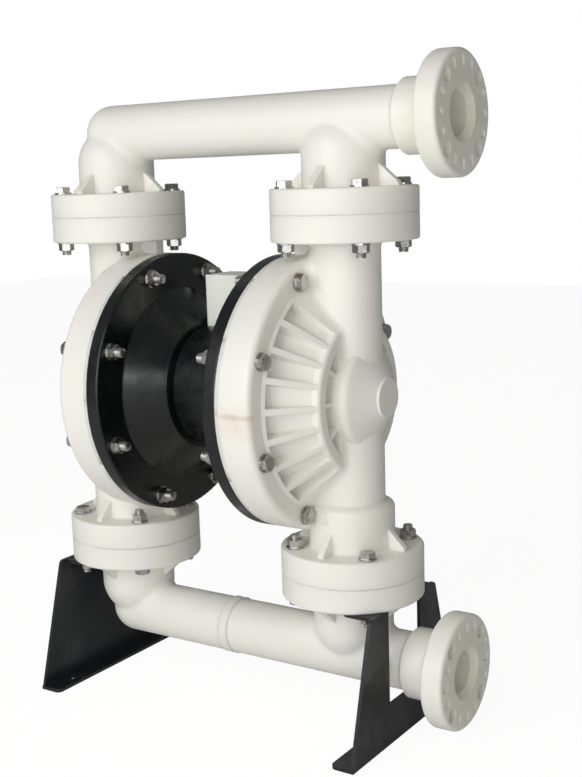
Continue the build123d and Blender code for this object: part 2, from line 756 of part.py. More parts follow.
# ---- feet ----
def foot(with_notch):
    """Folded steel foot under one end: web, base flange and the tab under the manifold."""
    base = -floor_drop
    top = -flange_top
    outline = Polyline(
        (-foot_base_half, base), (foot_base_half, base), (foot_top_half, top), (-foot_top_half, top),
        close=True,
    )
    web = Pos(foot_web_x - sheet_t, 0, 0) * extrude(Plane.YZ * make_face(outline), sheet_t)
    web = fillet(web.edges().filter_by(Axis.X).sort_by(Axis.Z)[-2:], foot_corner_r)
    flange_in = foot_web_x - foot_flange_w
    flange = block(flange_in, foot_web_x, -foot_base_half, foot_base_half, base, base + sheet_t)
    corners = flange.edges().filter_by(Axis.Z).sort_by(Axis.X)[:2]
    flange = fillet(corners, foot_corner_r)
    tab_in = foot_web_x - foot_tab_w
    tab_half = foot_top_half - foot_corner_r
    tab = block(tab_in, foot_web_x, -tab_half, tab_half, top - sheet_t, top)
    tab -= rod_z(stub_r + 3, top - 20, top + 10, stub_x)
    tab -= block(tab_in - 1, foot_web_x - sheet_t, -foot_tab_gap / 2, foot_tab_gap / 2, top - 20, top + 10)
    tab = fillet(tab.edges().filter_by(Axis.Z).group_by(Axis.X)[0], foot_corner_r)
    body = web + flange + tab
    body -= block(
        tab_in - 1, foot_web_x + 1, -foot_slot_half, foot_slot_half, top - foot_slot_depth, top + 10
    )
    if with_notch:
        notch = block(
            foot_web_x - 2 * sheet_t, foot_web_x + 1, -foot_notch_half, foot_notch_half,
            -foot_notch_low, top + 10,
        )
        body -= fillet(notch.edges().filter_by(Axis.X).sort_by(Axis.Z)[:2], foot_notch_r)
    for s in (-1, 1):
        body -= rod_z(foot_hole_r, base - 1, base + sheet_t + 1, foot_hole_x, s * foot_hole_spacing / 2)
    for bx, by in circle_points(manifold_bolt_r, manifold_bolt_count, 45):
        body -= rod_z(hole_r, top - 20, top + 1, stub_x + bx, by)
    return body


# ---- build and write every piece ----
os.makedirs("parts", exist_ok=True)

discharge = manifold(with_balls=True, with_weld=False)
suction = mirror(manifold(with_balls=False, with_weld=True), about=Plane.XY)
write("discharge_manifold", discharge)
write("suction_manifold", suction)

right_chamber = fluid_chamber()
write("fluid_chamber_right", right_chamber)
write("fluid_chamber_left", left_of(right_chamber))

for name, piece in (
    ("air_chamber", air_chamber()),
    ("diaphragm", diaphragm()),
    ("inner_plate", inner_plate()),
    ("outer_plate", outer_plate()),
    ("shaft_bush", shaft_bush()),
    ("shaft_seal", shaft_seal()),
):
    write(name + "_right", piece)
    write(name + "_left", left_of(piece))

write("centre_block", centre_block())
write("shaft", shaft())
write("pilot_pin", pilot_pin())
write("air_valve_body", valve_body())
write("air_valve_spool", valve_spool())
write("air_valve_plugs", valve_plugs())
write("air_valve_gasket", valve_gasket())
write("air_valve_screws", valve_screws())
write("exhaust_silencer", silencer())

for label, side in (("left", -1), ("right", 1)):
    x = side * stub_x
    ball = Sphere(ball_r)
    write("suction_seat_" + label, Pos(x, 0, -joint_height) * valve_seat())
    write("suction_seal_" + label, Pos(x, 0, -joint_height) * valve_seal())
    write("suction_ball_" + label, Pos(x, 0, -joint_height + seat_rise()) * ball)
    write("discharge_seat_" + label, Pos(x, 0, joint_height) * valve_seat())
    write("discharge_seal_" + label, Pos(x, 0, joint_height) * valve_seal())
    write("discharge_ball_" + label, Pos(x, 0, joint_height + seat_rise()) * ball)
    bolts, nuts = chamber_fasteners(side)
    write("chamber_bolts_" + label, bolts)
    write("chamber_nuts_" + label, nuts)

# Order round each joint: 45, 135, 225 and 315 degrees from +X.
manifold_bolts = []
manifold_nuts = []
for side, top, heads_up in (
    (-1, True, (True, True, True, True)),
    (1, True, (True, True, True, True)),
    (-1, False, (True, False, True, False)),
    (1, False, (False, True, False, True)),
):
    bolts, nuts = joint_fasteners(side, top, heads_up, foot=not top)
    manifold_bolts += bolts
    manifold_nuts += nuts
write("manifold_bolts", group(manifold_bolts))
write("manifold_nuts", group(manifold_nuts))

write("foot_right", foot(with_notch=True))
write("foot_left", left_of(foot(with_notch=False)))
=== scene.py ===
"""Dresses an air operated double diaphragm pump: plastics, steel, threads, weld bead and studio."""

from math import cos, pi, radians, sin, tau

import bpy
import numpy as np
from bpy.props import FloatProperty, FloatVectorProperty, IntProperty, PointerProperty
from bpy.types import Operator, Panel, PropertyGroup
from mathutils import Matrix, Vector


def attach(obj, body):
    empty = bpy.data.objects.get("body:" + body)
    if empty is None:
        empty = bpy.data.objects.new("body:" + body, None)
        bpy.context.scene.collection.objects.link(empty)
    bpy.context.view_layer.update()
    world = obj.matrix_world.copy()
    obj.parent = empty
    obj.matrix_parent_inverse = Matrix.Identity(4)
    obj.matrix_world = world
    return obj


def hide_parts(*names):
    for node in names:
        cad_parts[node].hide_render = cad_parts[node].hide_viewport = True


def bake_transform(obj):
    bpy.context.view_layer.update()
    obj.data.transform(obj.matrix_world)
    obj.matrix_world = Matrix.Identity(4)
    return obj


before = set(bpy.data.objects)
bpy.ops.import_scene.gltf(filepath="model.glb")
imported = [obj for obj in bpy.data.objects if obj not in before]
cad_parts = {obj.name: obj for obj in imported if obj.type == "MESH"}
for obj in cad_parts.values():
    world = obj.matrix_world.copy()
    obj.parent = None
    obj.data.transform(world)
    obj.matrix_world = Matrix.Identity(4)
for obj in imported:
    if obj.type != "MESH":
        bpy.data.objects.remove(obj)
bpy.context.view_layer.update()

bl_info = {
    "name": "Diaphragm pump dresser",
    "version": (1, 0, 0),
    "blender": (4, 5, 0),
    "location": "View3D > Sidebar > Pump",
    "description": "Gives the packed diaphragm pump its materials, fine pieces and studio",
    "category": "Object",
}

IMAGE_WIDTH = 582
IMAGE_HEIGHT = 777
SENSOR_HEIGHT = 36.0
HOUSING = "pump_housing"
SIDES = (("left", -1), ("right", 1))
# The shaft's midpoint. The frame's origin lies on the floor under the middle of the pump.
SHAFT_MIDDLE = np.array([-0.0355, 0.0, 0.455])

# Diaphragm: bore, where its roll starts and ends, and its clamped edge.
DIAPHRAGM_RADII = (0.0082, 0.092, 0.143, 0.183)
DIAPHRAGM_HALF = 0.00199
# How far each diaphragm's middle plane is from the shaft's midpoint.
DIAPHRAGM_PLACE = 0.108

# Bolt ends: height of the nut, what stands out of it, and the radius at the thread's root.
NUT_HEIGHT = 0.0125
CHAMBER_END = 0.011
MANIFOLD_END = 0.006
THREAD_ROOT = 0.00603
# The end of a thread: how long it tapers, how far in, and how far its face is domed.
TAPER_LENGTH = 0.001
TAPER_DEPTH = 0.0006
TIP_RISE = 0.0002
ROWS_PER_TURN = 8

# Chamber bolts: how many, their circle and the plane that their nuts sit on.
CHAMBER_BOLTS = 8
CHAMBER_CIRCLE = 0.1655
CHAMBER_NUT_PLANE = 0.086

# Manifold bolts: place of the columns along the shaft and the bolts' circle.
COLUMN_PLACE = 0.19
MANIFOLD_CIRCLE = 0.078
# Manifold joint: its height over the shaft, then its manifold flange, chamber flange and tab.
JOINT_HEIGHT = 0.237
MANIFOLD_FLANGE = 0.033
CHAMBER_FLANGE = 0.035
FOOT_TAB = 0.005

# Weld on the suction pipe: the pipe's depth under the shaft, the weld's middle and half width,
# and the radius, half width and height of the bead along each of its edges.
PIPE_DROP = 0.353
WELD_PLACE = -0.006
WELD_HALF = 0.007
BEAD_RADIUS = 0.0392
BEAD_HALF = 0.0015
BEAD_HEIGHT = 0.0013
BEAD_ROWS = 9

# Lights: name, place, what it is aimed at, its two sides and the setting that holds its power.
LIGHTS = (
    ("key_light", (-0.3, -2.5, 1.45), (0, 0, 0.42), (2.2, 2.0), "key_power"),
    ("sheen_light", (1.6, -1.47, 0.8), (-0.1, 0, 0.47), (0.5, 0.3), "sheen_power"),
    ("fill_light", (1.1, -2.0, 0.55), (0, 0, 0.4), (1.2, 0.9), "fill_power"),
)
FASTENER_STEEL = (0.5, 0.49, 0.47)
FLOOR_CORNERS = ((-1, -1), (1, -1), (1, 1), (-1, 1))
FLOOR_REACH = 6.0
FLOOR_GLOW = 1.08

WHITE_NODES = (
    "discharge_manifold", "suction_manifold", "fluid_chamber_left", "fluid_chamber_right",
)
VALVE_NODES = ("air_valve_body", "air_valve_plugs")
BLACK_NODES = ("air_chamber_left", "air_chamber_right", "centre_block", "exhaust_silencer")
FASTENER_NODES = (
    "chamber_bolts_left", "chamber_bolts_right", "chamber_nuts_left", "chamber_nuts_right",
    "manifold_bolts", "manifold_nuts", "air_valve_screws",
)
FOOT_NODES = ("foot_left", "foot_right")
GROUND_NODES = ("shaft", "pilot_pin", "air_valve_spool")
BUSH_NODES = ("shaft_bush_left", "shaft_bush_right")

# Manifold joints: side, whether it is an upper one, and which of its bolts have their heads up.
JOINTS = (
    (-1, True, (True, True, True, True)), (1, True, (True, True, True, True)),
    (-1, False, (True, False, True, False)), (1, False, (False, True, False, True)),
)

# Marks on the white plastic: place, reach along X, Y and Z, colour and strength. The brown and pink
# ones are stains; the greenish-grey ones at the right end of the discharge pipe and on the port
# flanges are painted shade.
CREAM_STAINS_AND_SHADE = (
    ((0.1, -0.1835, 0.4525), (0.045, 0.03, 0.007), (0.42, 0.28, 0.18), 0.95),
    ((0.0975, -0.1835, 0.445), (0.07, 0.03, 0.04), (0.84, 0.74, 0.66), 0.75),
    ((0.06, 0.0, 0.102), (0.16, 0.08, 0.06), (0.88, 0.81, 0.765), 0.7),
    # Painted shade: darker greenish-grey on the right end of the discharge pipe and on the upper
    # and lower port flanges.
    ((0.28, -0.08, 0.78), (0.06, 0.1, 0.12), (0.80, 0.79, 0.66), 0.6),
    ((0.32, 0.0, 0.808), (0.03, 0.1, 0.1), (0.78, 0.775, 0.62), 0.75),
    ((0.32, 0.0, 0.102), (0.03, 0.1, 0.1), (0.76, 0.755, 0.6), 0.8),
    ((0.1, -0.07, 0.62), (0.06, 0.06, 0.05), (0.86, 0.78, 0.72), 0.45),
)


# ---- settings ----
class PUMP_PG_settings(PropertyGroup):
    camera_place: FloatVectorProperty(
        name="Camera place", description="Where the camera stands in the pump's frame",
        default=(0.9771, -1.3790, 0.7429), subtype="XYZ", unit="LENGTH",
    )
    camera_yaw: FloatProperty(
        name="Yaw", description="Turn of the view from +Y towards -X",
        default=radians(34.25), subtype="ANGLE", unit="ROTATION",
    )
    camera_pitch: FloatProperty(
        name="Pitch", description="How far the camera looks down",
        default=radians(10.22), subtype="ANGLE", unit="ROTATION",
    )
    camera_roll: FloatProperty(
        name="Roll", description="Tilt of the camera about its line of sight",
        default=radians(-1.96), subtype="ANGLE", unit="ROTATION",
    )
    focal_px: FloatProperty(
        name="Focal length in pixels", description="Focal length over the size of one pixel",
        default=1238.4,
    )
    centre_px: FloatVectorProperty(
        name="Optical centre", description="Where the line of sight meets the picture, in pixels",
        size=2, default=(275.7, 397.9),
    )
    key_power: FloatProperty(
        name="Key light", description="Power of the large light at the upper left",
        default=42.0, unit="POWER",
    )
    fill_power: FloatProperty(
        name="Fill light", description="Power of the light beside the camera",
        default=7.0, unit="POWER",
    )
    sheen_power: FloatProperty(
        name="Sheen light", description="Power of the small light that draws the highlights",
        default=3.0, unit="POWER",
    )
    room_strength: FloatProperty(
        name="Room light", description="Strength of the even light from all round",
        default=0.22,
    )
    room_gloss: FloatProperty(
        name="Room in reflections", description="How bright the room looks in glossy surfaces",
        default=0.22,
    )
    floor_white: FloatProperty(
        name="Floor whiteness", description="How far the floor fades to white in the picture",
        default=0.86, min=0.0, max=1.0, subtype="FACTOR",
    )
    thread_pitch: FloatProperty(
        name="Thread pitch", description="Rise of the bolt thread in one turn",
        default=0.00175, unit="LENGTH",
    )
    thread_depth: FloatProperty(
        name="Thread depth", description="Height of the thread's crest over its root",
        default=0.0006, unit="LENGTH",
    )
    roll_height: FloatProperty(
        name="Diaphragm roll", description="Height of the diaphragm's rolled ring",
        default=0.0075, unit="LENGTH",
    )
    diaphragm_sectors: IntProperty(
        name="Diaphragm sectors", description="Number of sectors that make up each diaphragm",
        default=12, min=8,
    )
    diaphragm_steps: IntProperty(
        name="Sector steps", description="Rows of points round one diaphragm sector",
        default=9, min=3,
    )
    bead_sides: IntProperty(
        name="Weld sides", description="Faces round the weld on the suction pipe",
        default=160, min=24,
    )
    thread_sides: IntProperty(
        name="Thread sides", description="Faces round one turn of the thread",
        default=32, min=12,
    )


# ---- node helpers ----
def new_material(name):
    """Returns a fresh node material: (material, tree, principled node)."""
    material = bpy.data.materials.new(name)
    material.use_nodes = True
    tree = material.node_tree
    return material, tree, tree.nodes["Principled BSDF"]


def object_point(tree):
    """Coordinates of the shaded point in its own object's frame, in metres."""
    return tree.nodes.new("ShaderNodeTexCoord").outputs["Object"]


def noise(tree, scale, detail=3.0, stretch=(1, 1, 1), seed=0.0):
    """Noise over object coordinates; scale is in cells per metre."""
    mapping = tree.nodes.new("ShaderNodeMapping")
    mapping.inputs["Scale"].default_value = stretch
    mapping.inputs["Location"].default_value = (seed, seed * 0.7, -seed)
    tree.links.new(object_point(tree), mapping.inputs["Vector"])
    node = tree.nodes.new("ShaderNodeTexNoise")
    node.inputs["Scale"].default_value = scale
    node.inputs["Detail"].default_value = detail
    tree.links.new(mapping.outputs["Vector"], node.inputs["Vector"])
    return node.outputs["Fac"]


def spread(tree, value, low, high, out_low, out_high):
    """Maps value from [low, high] to [out_low, out_high] with soft ends."""
    node = tree.nodes.new("ShaderNodeMapRange")
    node.interpolation_type = "SMOOTHSTEP"
    node.inputs["From Min"].default_value = low
    node.inputs["From Max"].default_value = high
    node.inputs["To Min"].default_value = out_low
    node.inputs["To Max"].default_value = out_high
    tree.links.new(value, node.inputs["Value"])
    return node.outputs["Result"]


def patches(tree, scale, detail, low, high, out_low=0.0, out_high=1.0, seed=0.0):
    """Noise whose values between low and high are spread over the two outer values."""
    return spread(tree, noise(tree, scale, detail, seed=seed), low, high, out_low, out_high)


def tint(tree, factor, first, second):
    """Blends two colours, or a socket and a colour, by factor."""
    node = tree.nodes.new("ShaderNodeMix")
    node.data_type = "RGBA"
    tree.links.new(factor, node.inputs["Factor"])
    for socket, colour in ((node.inputs["A"], first), (node.inputs["B"], second)):
        if isinstance(colour, tuple):
            socket.default_value = (*colour, 1.0)
        else:
            tree.links.new(colour, socket)
    return node.outputs["Result"]


def bump(tree, height, depth, onto=None):
    """Bump of the given depth in metres, laid over an earlier bump's normal."""
    node = tree.nodes.new("ShaderNodeBump")
    node.inputs["Strength"].default_value = 1.0
    node.inputs["Distance"].default_value = depth
    tree.links.new(height, node.inputs["Height"])
    if onto is not None:
        tree.links.new(onto, node.inputs["Normal"])
    return node.outputs["Normal"]


def dress(nodes, material):
    """Gives the named CAD nodes one material."""
    for name in nodes:
        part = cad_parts[name]
        part.data.materials.clear()
        part.data.materials.append(material)


# ---- materials ----
def near(tree, centre, reach):
    """1 at a point of the frame, falling softly to 0 at the given reach along each axis."""
    mapping = tree.nodes.new("ShaderNodeMapping")
    mapping.vector_type = "TEXTURE"
    mapping.inputs["Location"].default_value = centre
    mapping.inputs["Scale"].default_value = reach
    tree.links.new(object_point(tree), mapping.inputs["Vector"])
    length = tree.nodes.new("ShaderNodeVectorMath")
    length.operation = "LENGTH"
    tree.links.new(mapping.outputs["Vector"], length.inputs[0])
    return spread(tree, length.outputs["Value"], 0.0, 1.0, 1.0, 0.0)


def moulded_white(name, base, warm, cool, seed, stains_and_shade=()):
    """Satin polypropylene: cloudy cream colour, faint warm and cool patches, soft skin.

    Each mark is a place, its reach along the axes, its colour and its strength; some are stains and
    some are painted shade.
    """
    material, tree, shader = new_material(name)
    cloud = patches(tree, 7.0, 4.0, 0.35, 0.68, seed=seed)
    colour = tint(tree, cloud, base, warm)
    patch = patches(tree, 3.2, 2.0, 0.55, 0.75, out_high=0.7, seed=seed + 4.0)
    colour = tint(tree, patch, colour, cool)
    # Each mark is a real stain or painted shade, broken up by fine noise.
    for place, reach, shade, strength in stains_and_shade:
        broken = patches(tree, 60.0, 4.0, 0.3, 0.6, out_low=0.4, seed=seed + 7.0)
        mask = tree.nodes.new("ShaderNodeMath")
        mask.operation = "MULTIPLY"
        tree.links.new(near(tree, place, reach), mask.inputs[0])
        tree.links.new(broken, mask.inputs[1])
        amount = spread(tree, mask.outputs["Value"], 0.0, 1.0, 0.0, strength)
        colour = tint(tree, amount, colour, shade)
    tree.links.new(colour, shader.inputs["Base Color"])
    rough = patches(tree, 24.0, 5.0, 0.3, 0.75, 0.36, 0.52, seed=seed + 9.0)
    tree.links.new(rough, shader.inputs["Roughness"])
    skin = bump(tree, noise(tree, 900.0, 2.0), 0.00004)
    tree.links.new(bump(tree, noise(tree, 26.0, 3.0), 0.0004, skin), shader.inputs["Normal"])
    shader.inputs["Subsurface Weight"].default_value = 0.35
    shader.inputs["Subsurface Scale"].default_value = 0.014
    shader.inputs["Subsurface Radius"].default_value = (1.0, 0.9, 0.75)
    shader.inputs["IOR"].default_value = 1.49
    return material


def moulded_black(name):
    """Black filled plastic: low sheen with rubbed, slightly greyer patches and fine grain."""
    material, tree, shader = new_material(name)
    rubbed = patches(tree, 18.0, 6.0, 0.5, 0.78)
    colour = tint(tree, rubbed, (0.003, 0.0042, 0.0046), (0.007, 0.0085, 0.009))
    tree.links.new(colour, shader.inputs["Base Color"])
    rough = patches(tree, 40.0, 4.0, 0.3, 0.7, 0.22, 0.36)
    tree.links.new(rough, shader.inputs["Roughness"])
    grain = bump(tree, noise(tree, 1400.0, 2.0), 0.00005)
    tree.links.new(bump(tree, noise(tree, 60.0, 3.0), 0.00012, grain), shader.inputs["Normal"])
    shader.inputs["IOR"].default_value = 1.5
    return material


def bare_metal(name, base, rough):
    """Drawn metal: streaked roughness between two values, and slight darker stained patches."""
    material, tree, shader = new_material(name)
    stain = patches(tree, 120.0, 5.0, 0.45, 0.75, out_high=0.75)
    darker = tuple(0.55 * channel for channel in base)
    tree.links.new(tint(tree, stain, base, darker), shader.inputs["Base Color"])
    streak = noise(tree, 500.0, 3.0, stretch=(1, 1, 6))
    tree.links.new(spread(tree, streak, 0.3, 0.7, *rough), shader.inputs["Roughness"])
    tree.links.new(bump(tree, streak, 0.00003), shader.inputs["Normal"])
    shader.inputs["Metallic"].default_value = 1.0
    return material


def black_paint(name):
    """Black gloss paint on folded sheet, with orange peel and dusty, dulled patches."""
    material, tree, shader = new_material(name)
    dust = patches(tree, 14.0, 7.0, 0.5, 0.8, out_high=0.8)
    colour = tint(tree, dust, (0.010, 0.011, 0.015), (0.032, 0.034, 0.04))
    tree.links.new(colour, shader.inputs["Base Color"])
    rough = patches(tree, 30.0, 4.0, 0.3, 0.7, 0.28, 0.5)
    tree.links.new(rough, shader.inputs["Roughness"])
    tree.links.new(bump(tree, noise(tree, 320.0, 2.0), 0.00012), shader.inputs["Normal"])
    return material


def mottled(name, first, second, rough):
    """Matt rubber or hard plastic of the inner pieces, mottled between two near colours."""
    material, tree, shader = new_material(name)
    mottle = patches(tree, 60.0, 4.0, 0.35, 0.7)
    tree.links.new(tint(tree, mottle, first, second), shader.inputs["Base Color"])
    uneven = patches(tree, 90.0, 3.0, 0.3, 0.7, rough, rough + 0.12)
    tree.links.new(uneven, shader.inputs["Roughness"])
    tree.links.new(bump(tree, noise(tree, 700.0), 0.00005), shader.inputs["Normal"])
    return material


# ---- surfaces ----
def grid_faces(rows, columns, first=0):
    """Quads of a grid that closes on itself along its columns, as an index array."""
    row, column = np.meshgrid(np.arange(rows - 1), np.arange(columns), indexing="ij")
    after = (column + 1) % columns
    low = first + row * columns
    high = low + columns
    return np.stack([low + column, low + after, high + after, high + column], -1).reshape(-1, 4)


def make_piece(name, points, blocks, material, body=HOUSING):
    """Adds a smooth mesh at the origin from points and arrays of faces.

    It rides on the body, or on none when no body is given.
    """
    mesh = bpy.data.meshes.new(name)
    mesh.from_pydata(points.tolist(), [], sum((faces.tolist() for faces in blocks), []))
    mesh.shade_smooth()
    mesh.materials.append(material)
    piece = bpy.data.objects.new(name, mesh)
    bpy.context.scene.collection.objects.link(piece)
    if body:
        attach(piece, body)
    return piece


# ---- stage ----
def camera_matrix(settings):
    """Place and turn of the camera: yaw from +Y, then pitch down, then roll about its sight."""
    yaw, pitch, roll = settings.camera_yaw, settings.camera_pitch, settings.camera_roll
    ahead = Vector((-sin(yaw) * cos(pitch), cos(yaw) * cos(pitch), -sin(pitch)))
    level = Vector((cos(yaw), sin(yaw), 0.0))
    upward = level.cross(ahead)
    right = level * cos(roll) + upward * sin(roll)
    up = upward * cos(roll) - level * sin(roll)
    turn = Matrix((right, up, -ahead)).transposed().to_4x4()
    return Matrix.Translation(settings.camera_place) @ turn


def area_light(name, place, aim, size, power):
    """Adds a white rectangular light that faces the point it is aimed at."""
    data = bpy.data.lights.new(name, "AREA")
    data.shape = "RECTANGLE"
    data.size, data.size_y = size
    data.energy = power
    light = bpy.data.objects.new(name, data)
    light.location = place
    light.rotation_euler = (Vector(aim) - Vector(place)).to_track_quat("-Z", "Y").to_euler()
    bpy.context.scene.collection.objects.link(light)


def by_ray(tree, ray, other, seen):
    """Mixes two shaders: seen for the named kind of ray, other for the rest."""
    path = tree.nodes.new("ShaderNodeLightPath")
    mix = tree.nodes.new("ShaderNodeMixShader")
    tree.links.new(path.outputs[ray], mix.inputs["Fac"])
    tree.links.new(other, mix.inputs[1])
    tree.links.new(seen, mix.inputs[2])
    return mix.outputs["Shader"]


def background(tree, colour, strength):
    """Background shader of one colour."""
    node = tree.nodes.new("ShaderNodeBackground")
    node.inputs["Color"].default_value = (*colour, 1.0)
    node.inputs["Strength"].default_value = strength
    return node.outputs["Background"]


def pale_room(settings):
    """World that lights evenly, mirrors dimly and shows as plain white behind the pump."""
    world = bpy.data.worlds.new("pale_room")
    bpy.context.scene.world = world
    world.use_nodes = True
    tree = world.node_tree
    tree.nodes.clear()
    light = background(tree, (1.0, 1.0, 0.92), settings.room_strength)
    mirrored = background(tree, (0.96, 0.98, 1.0), settings.room_gloss)
    white = background(tree, (1.0, 1.0, 1.0), 1.0)
    shown = by_ray(tree, "Is Camera Ray", by_ray(tree, "Is Glossy Ray", light, mirrored), white)
    tree.links.new(shown, tree.nodes.new("ShaderNodeOutputWorld").inputs["Surface"])


def pale_floor(settings):
    """Matt floor that fades towards white, with a faint shadow, in what the camera sees."""
    material, tree, shader = new_material("pale_floor")
    speck = patches(tree, 5.0, 3.0, 0.3, 0.7)
    colour = tint(tree, speck, (0.86, 0.86, 0.85), (0.9, 0.9, 0.89))
    tree.links.new(colour, shader.inputs["Base Color"])
    shader.inputs["Roughness"].default_value = 0.8
    glow = tree.nodes.new("ShaderNodeEmission")
    glow.inputs["Strength"].default_value = FLOOR_GLOW
    faded = tree.nodes.new("ShaderNodeMixShader")
    faded.inputs["Fac"].default_value = settings.floor_white
    tree.links.new(shader.outputs["BSDF"], faded.inputs[1])
    tree.links.new(glow.outputs["Emission"], faded.inputs[2])
    shown = by_ray(tree, "Is Camera Ray", shader.outputs["BSDF"], faded.outputs["Shader"])
    tree.links.new(shown, tree.nodes["Material Output"].inputs["Surface"])
    return material


class PUMP_OT_stage(Operator):
    """Sets the floor, the room, the lights and the camera"""

    bl_idname = "pump.stage"
    bl_label = "Set the stage"

    def execute(self, context):
        settings = context.scene.pump_settings
        mesh = bpy.data.meshes.new("floor")
        corners = [(x * FLOOR_REACH, y * FLOOR_REACH, 0) for x, y in FLOOR_CORNERS]
        mesh.from_pydata(corners, [], [(0, 1, 2, 3)])
        mesh.materials.append(pale_floor(settings))
        floor = bpy.data.objects.new("floor", mesh)
        context.scene.collection.objects.link(floor)

        pale_room(settings)
        for name, place, aim, size, power in LIGHTS:
            area_light(name, place, aim, size, getattr(settings, power))

        data = bpy.data.cameras.new("photo_camera")
        data.sensor_fit = "VERTICAL"
        data.sensor_height = SENSOR_HEIGHT
        data.lens = data.sensor_height * settings.focal_px / IMAGE_HEIGHT
        data.shift_x = (IMAGE_WIDTH / 2 - settings.centre_px[0]) / IMAGE_HEIGHT
        data.shift_y = (settings.centre_px[1] - IMAGE_HEIGHT / 2) / IMAGE_HEIGHT
        camera = bpy.data.objects.new("photo_camera", data)
        camera.matrix_world = camera_matrix(settings)
        context.scene.collection.objects.link(camera)
        context.scene.camera = camera
        context.scene.view_settings.view_transform = "Standard"
        return {"FINISHED"}


class PUMP_OT_white_side(Operator):
    """Gives the manifolds, fluid chambers and air valve their white plastic"""

    bl_idname = "pump.white_side"
    bl_label = "Dress the white plastic"

    def execute(self, context):
        cream = moulded_white(
            "cream_polypropylene", base=(0.88, 0.865, 0.81), warm=(0.895, 0.87, 0.82),
            cool=(0.865, 0.865, 0.80), seed=0.0, stains_and_shade=CREAM_STAINS_AND_SHADE,
        )
        dress(WHITE_NODES, cream)
        valve = moulded_white(
            "valve_plastic", base=(0.88, 0.90, 0.79), warm=(0.89, 0.905, 0.82),
            cool=(0.86, 0.89, 0.77), seed=2.0,
        )
        dress(VALVE_NODES, valve)
        return {"FINISHED"}


class PUMP_OT_black_side(Operator):
    """Gives the air chambers, centre block and silencer their black plastic"""

    bl_idname = "pump.black_side"
    bl_label = "Dress the black plastic"

    def execute(self, context):
        dress(BLACK_NODES, moulded_black("black_plastic"))
        return {"FINISHED"}


class PUMP_OT_steel(Operator):
    """Gives the fasteners, shaft and feet their steel and paint"""

    bl_idname = "pump.steel"
    bl_label = "Dress the steel"

    def execute(self, context):
        dress(FASTENER_NODES, bare_metal("stainless_steel", FASTENER_STEEL, (0.16, 0.32)))
        dress(GROUND_NODES, bare_metal("ground_steel", (0.62, 0.63, 0.65), (0.12, 0.2)))
        dress(BUSH_NODES, bare_metal("bearing_bronze", (0.56, 0.36, 0.16), (0.3, 0.42)))
        dress(FOOT_NODES, black_paint("black_paint"))
        return {"FINISHED"}


class PUMP_OT_inner_parts(Operator):
    """Gives the plates, balls, seats and seals their materials"""

    bl_idname = "pump.inner_parts"
    bl_label = "Dress the inner parts"

    def execute(self, context):
        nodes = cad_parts
        seals = [name for name in nodes if "seal" in name] + ["air_valve_gasket"]
        dress(seals, mottled("black_rubber", (0.012, 0.012, 0.013), (0.02, 0.02, 0.021), 0.5))
        plates = [name for name in nodes if name.startswith(("inner_plate", "outer_plate"))]
        dress(plates, mottled("plate_plastic", (0.74, 0.73, 0.68), (0.78, 0.77, 0.73), 0.38))
        valves = [name for name in nodes if "ball" in name or "seat" in name]
        dress(valves, mottled("valve_plastic_white", (0.82, 0.82, 0.8), (0.86, 0.86, 0.84), 0.3))
        return {"FINISHED"}


# ---- diaphragms ----
def diaphragm_sector(side, first, last, settings):
    """Closed sector of a diaphragm between two angles about the shaft.

    The disc's middle plane is flat out to the plates' edge, swells as a half sine to the top of
    the roll and back, and is flat again in the clamped rim. Both faces lie half a thickness off
    it, measured along its normal, and end on two cylinders and the two cut planes.
    """
    inner, roll_in, roll_out, outer = DIAPHRAGM_RADII
    radius = np.concatenate([
        np.linspace(inner, roll_in, 4)[:-1], np.linspace(roll_in, roll_out, 25)[:-1],
        np.linspace(roll_out, outer, 4),
    ])
    along = np.clip((radius - roll_in) / (roll_out - roll_in), 0.0, 1.0)
    rise = settings.roll_height * 0.5 * (1.0 - np.cos(tau * along))
    slope = np.gradient(rise, radius)
    size = np.sqrt(1.0 + slope**2)
    half = DIAPHRAGM_HALF / size
    lean = DIAPHRAGM_HALF * slope / size
    section_r = np.concatenate([radius - lean, (radius + lean)[::-1]])
    section_x = np.concatenate([rise + half, (rise - half)[::-1]])
    turns = np.linspace(first, last, settings.diaphragm_steps)[:, None]
    mid = SHAFT_MIDDLE + np.array([side * DIAPHRAGM_PLACE, 0.0, 0.0])
    points = np.stack([
        mid[0] + side * section_x + 0 * turns,
        mid[1] + section_r * np.cos(turns),
        mid[2] + section_r * np.sin(turns),
    ], -1)
    rows, columns = points.shape[:2]
    faces = grid_faces(rows, columns)
    strip = np.arange(len(radius) - 1)
    start = np.stack([strip, columns - 1 - strip, columns - 2 - strip, strip + 1], -1)
    end = start[:, ::-1] + (rows - 1) * columns
    faces = np.concatenate([faces, start, end])
    if side < 0:
        faces = faces[:, ::-1]
    return points.reshape(-1, 3), faces


class PUMP_OT_diaphragms(Operator):
    """Makes the diaphragms in sectors between the shaft and the clamped rim"""

    bl_idname = "pump.diaphragms"
    bl_label = "Make the flexing diaphragms"

    def execute(self, context):
        settings = context.scene.pump_settings
        material = mottled("diaphragm_facing", (0.72, 0.72, 0.69), (0.78, 0.78, 0.75), 0.4)
        count = settings.diaphragm_sectors
        wide = tau / count
        for label, side in SIDES:
            for i in range(count):
                points, faces = diaphragm_sector(side, i * wide, (i + 1) * wide, settings)
                name = f"diaphragm_{label}_{i + 1:02d}"
                piece = make_piece(name, points, [faces], material, None)
                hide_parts("diaphragm_" + label)
                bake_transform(piece)
        return {"FINISHED"}


